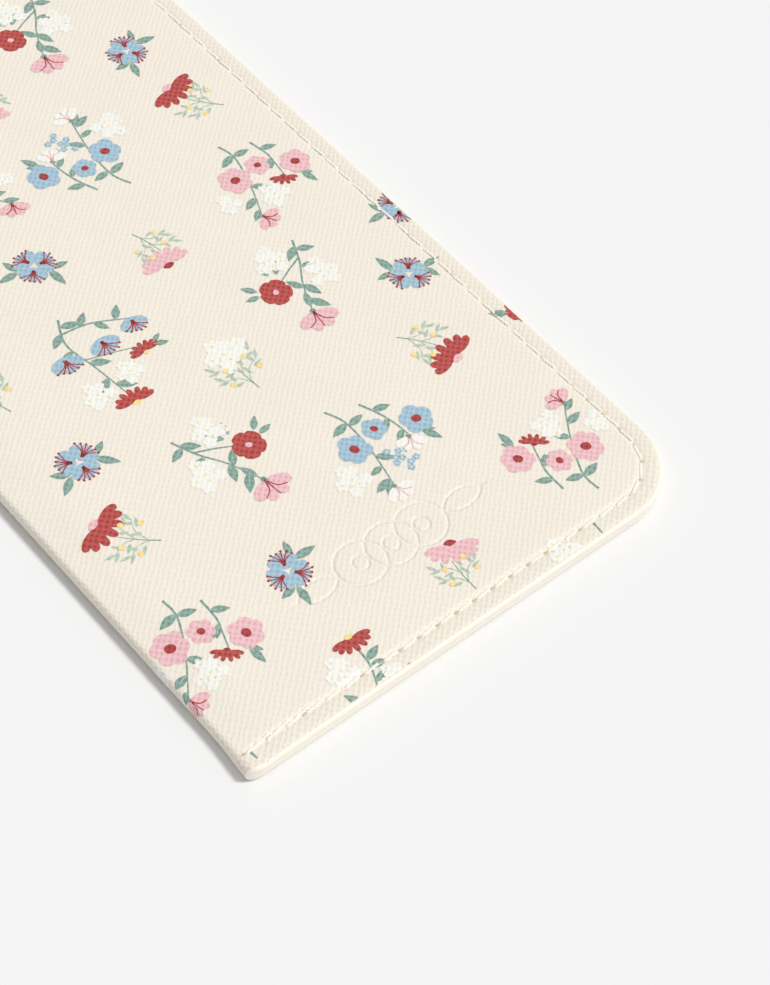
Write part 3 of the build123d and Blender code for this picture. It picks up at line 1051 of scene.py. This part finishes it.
def grid_lines():
    """The cover's grid: fine over the seam, the ornament and the fold, coarse elsewhere."""
    seam = SEAM_ZONE - FILM
    ornament_s = [ORNAMENT_X + side * ORNAMENT_HALF[0] - FOLD_X for side in (-1, 1)]
    ornament_t = [ORNAMENT_Y + side * ORNAMENT_HALF[1] for side in (-1, 1)]
    back_end, end, mouth = -FOLD_ARC - FRONT_FLAT, -HALF_LENGTH + FILM, HALF_LENGTH - FILM
    across = stretches(
        [back_end, back_end + seam, -FOLD_ARC, 0, *ornament_s, FRONT_FLAT - seam, FRONT_FLAT],
        [BACK_SEAM_STEP, BACK_STEP, FOLD_ARC / FOLD_STEPS, NEAR_STEP, ORNAMENT_STEP, OPEN_STEP, SEAM_STEP])
    along = stretches([end, end + seam, *ornament_t, mouth - seam, mouth],
                      [SEAM_STEP, NEAR_STEP, ORNAMENT_STEP, OPEN_STEP, MOUTH_STEP])
    return across, along


def coarse_lines(values):
    """Some of the grid's lines, at least an open step apart, with its first and last."""
    kept = [values[0]]
    for value in values[1:-1]:
        if value - kept[-1] >= OPEN_STEP and values[-1] - value >= OPEN_STEP / 2:
            kept.append(value)
    return kept + [values[-1]]


across, along = grid_lines()
inner_across = joined([coarse_lines([value for value in across if value <= -FOLD_ARC]),
                       [value for value in across if -FOLD_ARC <= value <= 0],
                       coarse_lines([value for value in across if value >= 0])])
inner_along = coarse_lines(along)

# The sheet's own colour, then a darker one painted into its troughs and pits as shade.
sheet_look = sheet_material("printed_sheet", (242, 234, 220), (213, 203, 184), inked=False)
cover = folded_sheet("outer_cover", across, along, inner_across, inner_along, 0.0, SHEET, sheet_look)
mark_flange(cover)
register(cover, "printed_sheet", None, "outer_wrap", "outer_front_panel")

all_shapes = printed_shapes()
for ink_name, (colour, pit_shade_colour) in INKS.items():
    look = sheet_material("ink_" + ink_name, colour, pit_shade_colour)
    register(print_ink(ink_name, all_shapes, look), "printed_sheet", None)

edge_paint_look = plain_material("edge_paint", (249, 243, 230), (246, 239, 223), 0.38, 0.5, 0.02, 0.5)
thread_look = plain_material("thread", (254, 252, 244), (246, 241, 228), 0.7, 0.12, 0.01, 0.25, 0.3)
# Painted shade for the needle holes' openings, on flat discs over the sheet.
hole_shade_look = plain_material("needle_hole_shade", (200, 178, 146), (220, 202, 174), 0.8, 0.1, 0.01, 0.1)
board_look = plain_material("board", (214, 206, 190), (200, 190, 172), 0.85, 0.25, 0.02, 0.15)
tape_look = woven_material("fold_tape", (236, 230, 214), (222, 214, 196), 0.5)
glue_look = plain_material("glue", (226, 214, 178), (214, 200, 160), 0.35, 0.6, 0.02, 0.5)
lining_look = woven_material("lining", (232, 222, 202), (214, 202, 180), 0.42)


def inner_sheet(name, lines, outside, thickness, material):
    """A sheet that lies under another, on a coarse grid."""
    return folded_sheet(name, lines, inner_along, lines, inner_along, outside, thickness, material)


lining = inner_sheet("lining_sheet", inner_across, SHEET + BOARD, LINING, lining_look)
register(lining, "lining", None, "lining_wrap", "lining_front_panel")

board_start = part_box("front_board_margin")[0].x / MM - FOLD_X
board_across = [board_start] + [value for value in inner_across if value > board_start + LEAST_STEP]
board = inner_sheet("front_board_sheet", board_across, SHEET, BOARD, board_look)
register(board, "board", None, "front_board", "front_board_margin")

TAPE_REACH = 3.5  # how far the tape reaches past the fold on either side
tape_across = [value for value in inner_across if -FOLD_ARC - TAPE_REACH < value < TAPE_REACH]
tape = inner_sheet("fold_tape_strip", tape_across, SHEET, BOARD, tape_look)
register(tape, "fold_tape", BACK_BODY, "fold_tape")

for node, look in (("back_board", board_look), ("seam_glue", glue_look)):
    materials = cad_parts[node].data.materials
    materials.clear()
    materials.append(look)


# The painted edge's half profile: up from the middle of the sleeve, out over the sheet and down the edge.
# Each place is (distance in from the edge, share of the way up to the sheet's surface, lift off it).
PAINT_LIP = [(0.62, 1.0, -0.12), (0.54, 1.0, 0.02), (0.44, 1.0, 0.05), (0.32, 1.0, 0.03), (0.2, 0.95, 0.0),
             (0.09, 0.82, 0.0), (0.02, 0.66, 0.0), (0.0, 0.5, 0.0), (0.02, 0.3, 0.0)]
SEAM_BEAD = [(0.62, 0.01, 0.0)] + PAINT_LIP + [(0.05, 0.13, 0.0), (0.09, 0.01, 0.0)]
MOUTH_BEAD = [(0.62, 0.06, 0.0)] + PAINT_LIP + [(0.1, 0.12, 0.0), (0.3, 0.04, 0.0)]
PAINT_WAVE, WAVE_SCALE, WAVE_SHIFT = 0.03, 0.7, 0.4
PAINT_PINCH, PAINT_SQUARED, PAINT_SQUEEZE = 0.45, 0.35, 0.4
END_STEP, SIDE_STEP = 0.7, 1.2
END_TURN, MOUTH_TURN, FOLD_TURN = math.pi / 32, math.pi / 24, math.pi / 12


def surface_rise(x, y, front):
    """Height of the sheet's surface over the middle of the sleeve, on one side."""
    flat = FOLD_RADIUS * (1 - fold_sink(x, y, front))
    return flat - relief(x, y, front) * smooth((x - FOLD_X) / RELIEF_FADE)


def open_edge():
    """Places round the open edges and the way in from each, for the seam and then for the mouth."""
    side, end, mouth = HALF_WIDTH, -HALF_LENGTH, HALF_LENGTH

    def on_corner(inward, centre_y, radius):
        centre_x = side - radius
        return (centre_x - radius * inward[0], centre_y - radius * inward[1]), inward

    seam = [((x, end), (0.0, 1.0)) for x in spread(FOLD_X, side - END_CORNER, END_STEP)]
    for turn in spread(0, math.pi / 2, END_TURN)[1:]:
        seam.append(on_corner((-math.sin(turn), math.cos(turn)), end + END_CORNER, END_CORNER))
    side_run = spread(end + END_CORNER, mouth - MOUTH_CORNER, SIDE_STEP)
    seam += [((side, y), (-1.0, 0.0)) for y in side_run[1:]]
    rim = []
    for turn in spread(0, math.pi / 2, MOUTH_TURN):
        rim.append(on_corner((-math.cos(turn), -math.sin(turn)), mouth - MOUTH_CORNER, MOUTH_CORNER))
    rim += [((x, mouth), (0.0, -1.0)) for x in spread(side - MOUTH_CORNER, FOLD_X, SIDE_STEP)[1:]]
    return seam, rim[::-1]


def bead_ring(bm, place, inward, profile, turn):
    """One section of the bead: over the front at turn 0, under the back at pi, round the fold between.

    It is narrower round the fold, and pressed square where it lies on the table.
    """
    front = turn < math.pi / 2
    flat = turn in (0, math.pi)
    wave = noise.noise(Vector((place[0] * WAVE_SCALE, place[1] * WAVE_SCALE, turn)))
    swell = 1 + PAINT_WAVE * wave
    ring = []
    for inset, share, lift in profile:
        inset *= 1 - PAINT_PINCH * math.sin(turn)
        if not front and inset < PAINT_SQUARED:
            inset *= PAINT_SQUEEZE
        x, y = place[0] + inward[0] * inset, place[1] + inward[1] * inset
        on_sheet = max(inset, FILM)
        sheet_at = (place[0] + inward[0] * on_sheet, place[1] + inward[1] * on_sheet)
        rise = share * (surface_rise(*sheet_at, front) if flat else FOLD_RADIUS) + lift * swell
        if inset < FILM:
            y += inward[1] * (1 - swell) * WAVE_SHIFT
            x += inward[0] * (1 - swell) * WAVE_SHIFT
        out, up = (0.0, math.cos(turn)) if flat else fold_section(turn, place[1])
        x -= rise * out
        ring.append(bm.verts.new(Vector((x, trimmed(x, y), FOLD_RADIUS + rise * up)) * MM))
    return ring


def edge_bead(name, path, profile):
    """Edge paint over the front ply to the fold, round it, and back over the back ply."""
    bm = bmesh.new()
    rings = [bead_ring(bm, place, inward, profile, 0) for place, inward in reversed(path)]
    fold_turns = spread(0, math.pi, FOLD_TURN)[1:-1]
    rings += [bead_ring(bm, *path[0], profile, turn) for turn in fold_turns]
    rings += [bead_ring(bm, place, inward, profile, math.pi) for place, inward in path]
    close_tube(bm, rings)
    bmesh.ops.recalc_face_normals(bm, faces=bm.faces[:])
    return finish_mesh(name, bm, edge_paint_look)


seam_path, mouth_path = open_edge()
seam_paint = edge_bead("edge_paint_bead", seam_path, SEAM_BEAD)
register(seam_paint, "edge_paint", BACK_BODY, "edge_paint_seam")
mouth_paint = edge_bead("mouth_paint_bead", mouth_path, MOUTH_BEAD)
register(mouth_paint, "edge_paint", None, "edge_paint_mouth_front", "edge_paint_mouth_back")


# --- thread and needle holes

STRAND_RADIUS, STRAND_OFFSET, STRAND_TWIST = 0.185, 0.075, 1.2
THREAD_RISE, THREAD_DIVE, THREAD_BEND, HOLE_GAP = 0.1, 0.68, 0.5, 0.15
THREAD_LIMIT = {True: 0.0, False: 0.25}  # how far it stays below the sleeve's height, front and back
STITCH_SLANT, SLANT_SPREAD, LOOSENESS, HOLE_LEAN = 0.17, 0.05, (-0.03, 0.04), 0.1
BACKTACK_SHIFT, BACKTACK_ASIDE = 0.5, 0.35
HOLE_MARK, HOLE_MARK_LIFT, HOLE_MARK_SIDES = (0.36, 0.25), 0.02, 12
THREAD_STEPS, STRAND_SIDES = 22, 6
thread_draw = random.Random(5)


def tube(bm, points, radius):
    """A closed round tube along points."""
    rings = []
    for k, point in enumerate(points):
        behind, ahead = neighbours(points, k)
        heading = (ahead - behind).normalized()
        across = heading.cross(Vector((0.31, 0.17, 0.93))).normalized()
        up = across.cross(heading)
        ring = []
        for corner in range(STRAND_SIDES):
            angle = 2 * math.pi * corner / STRAND_SIDES
            outward = across * math.cos(angle) + up * math.sin(angle)
            ring.append(bm.verts.new((point + outward * radius) * MM))
        rings.append(ring)
    close_tube(bm, rings)


def twisted_stitch(bm, start, end, front, aside):
    """Two twisted strands from one needle hole to the next, dipping into both."""
    start, end = Vector(start), Vector(end)
    heading = (end - start).normalized()
    across = Vector((-heading.y, heading.x))
    length = (end - start).length
    slant = STITCH_SLANT + thread_draw.uniform(-SLANT_SPREAD, SLANT_SPREAD)
    loose = thread_draw.uniform(*LOOSENESS)
    phase = thread_draw.uniform(0, 2 * math.pi)
    side = 1 if front else -1
    for strand in (0, math.pi):
        points = []
        for share in spread(0, 1, 1 / THREAD_STEPS):
            along = share * length
            near_hole = min(along, length - along)
            dip = 1 - smooth((near_hole - HOLE_GAP) / THREAD_BEND)
            offset = aside + slant * (2 * share - 1) * (1 - dip)
            lean = HOLE_LEAN * math.copysign(dip, 0.5 - share)
            place = start + heading * (along + lean) + across * offset
            rise = surface_rise(place.x, place.y, front) + THREAD_RISE + loose * (1 - dip)
            rise = min(rise, FOLD_RADIUS - THREAD_LIMIT[front]) - dip * THREAD_DIVE
            angle = 2 * math.pi * along / STRAND_TWIST + phase + strand
            place += across * STRAND_OFFSET * math.cos(angle)
            height = FOLD_RADIUS + side * (rise + STRAND_OFFSET * math.sin(angle))
            points.append(Vector((place.x, place.y, height)))
        tube(bm, points, STRAND_RADIUS)


def stitch_row(name, holes, front, aside):
    """A row of stitches through needle holes."""
    bm = bmesh.new()
    for start, end in zip(holes[:-1], holes[1:]):
        twisted_stitch(bm, start, end, front, aside)
    bmesh.ops.recalc_face_normals(bm, faces=bm.faces[:])
    return finish_mesh(name, bm, thread_look)


# The back-tack's stitches start halfway along the seam's first ones and lie beside them.
tack_row = [(x + BACKTACK_SHIFT * STITCH, y) for x, y in SEAM_ROW[: BACKTACK_STITCHES + 1]]
ROWS = (
    ("needle_thread", SEAM_ROW, True, 0.0, BACK_BODY, "seam_needle_thread"),
    ("bobbin_thread", SEAM_ROW, False, 0.0, BACK_BODY, "seam_bobbin_thread"),
    ("backtack_thread", tack_row, True, BACKTACK_ASIDE, BACK_BODY, "seam_backtack"),
    ("mouth_thread", MOUTH_ROW, True, 0.0, None, "mouth_thread_front"),
    ("mouth_thread_under", MOUTH_ROW, False, 0.0, BACK_BODY, "mouth_thread_back"),
)
for name, holes, front, aside, body, node in ROWS:
    register(stitch_row(name, holes, front, aside), "thread", body, node)


def hole_shade_marks(name, front):
    """The needle holes' openings as flat discs just over the sheet, painted dark as the holes' shade."""
    bm = bmesh.new()
    side = 1 if front else -1
    for row in (SEAM_ROW, MOUTH_ROW):
        for k, place in enumerate(row):
            behind, ahead = neighbours(row, k)
            heading = (Vector(ahead) - Vector(behind)).normalized()
            across = Vector((-heading.y, heading.x))
            ring = []
            for corner in range(HOLE_MARK_SIDES):
                angle = side * 2 * math.pi * corner / HOLE_MARK_SIDES
                x, y = (Vector(place) + heading * HOLE_MARK[0] * math.cos(angle)
                        + across * HOLE_MARK[1] * math.sin(angle))
                height = FOLD_RADIUS + side * (surface_rise(x, y, front) + HOLE_MARK_LIFT)
                ring.append(bm.verts.new(Vector((x, y, height)) * MM))
            bm.faces.new(ring)
    register(finish_mesh(name, bm, hole_shade_look), "printed_sheet", None)


hole_shade_marks("needle_hole_shade_front", True)
hole_shade_marks("needle_hole_shade_back", False)

# --- floor, light and camera

FLOOR_DROP, FLOOR_REACH, FLOOR_TONE = 0.03, 4, 0.86
SKY_STRENGTH = 0.522
SUN_STRENGTH, SUN_WIDTH, SUN_HEADING = 2.0, 16, (-0.47, 0.42, -1.0)
floor_mesh = bpy.data.meshes.new("floor")
floor_corners = [(x * FLOOR_REACH, y * FLOOR_REACH, -FLOOR_DROP * MM)
                 for x, y in ((-1, -1), (1, -1), (1, 1), (-1, 1))]
floor_mesh.from_pydata(floor_corners, [], [(0, 1, 2, 3)])
floor_nodes = Nodes("floor", 0.7, 0.2)
floor_nodes.shader.inputs["Base Color"].default_value = (FLOOR_TONE, FLOOR_TONE, FLOOR_TONE, 1.0)
floor = new_object("floor", floor_mesh, floor_nodes.material)

world = bpy.data.worlds.new("soft_white")
bpy.context.scene.world = world
world.use_nodes = True
world.node_tree.nodes["Background"].inputs["Color"].default_value = (1.0, 1.0, 1.0, 1.0)
world.node_tree.nodes["Background"].inputs["Strength"].default_value = SKY_STRENGTH

sun_lamp = bpy.data.lights.new("sun", "SUN")
sun_lamp.energy, sun_lamp.angle = SUN_STRENGTH, math.radians(SUN_WIDTH)
sun = bpy.data.objects.new("sun", sun_lamp)
sun.rotation_euler = Vector(SUN_HEADING).to_track_quat("-Z", "Y").to_euler()
bpy.context.scene.collection.objects.link(sun)

CAMERA_AIM = (3.0, -53.8, TOP)
CAMERA_DISTANCE = 367.0
CAMERA_AZIMUTH, CAMERA_ELEVATION, CAMERA_ROLL = -47.75, 52.57, 9.0
CAMERA_LENS = 88.1
camera = bpy.data.objects.new("camera", bpy.data.cameras.new("camera"))
bpy.context.scene.collection.objects.link(camera)
bpy.context.scene.camera = camera
camera.data.lens = CAMERA_LENS
turn, rise = math.radians(CAMERA_AZIMUTH), math.radians(CAMERA_ELEVATION)
away = Vector((math.sin(turn) * math.cos(rise), -math.cos(turn) * math.cos(rise), math.sin(rise)))
camera.location = (Vector(CAMERA_AIM) + away * CAMERA_DISTANCE) * MM
camera.rotation_mode = "QUATERNION"
level = (-away).to_track_quat("-Z", "Y")
camera.rotation_quaternion = level @ Euler((0, 0, math.radians(CAMERA_ROLL))).to_quaternion()
camera.data.clip_start, camera.data.clip_end = 0.01, 10.0
bpy.context.scene.view_settings.view_transform = "Standard"
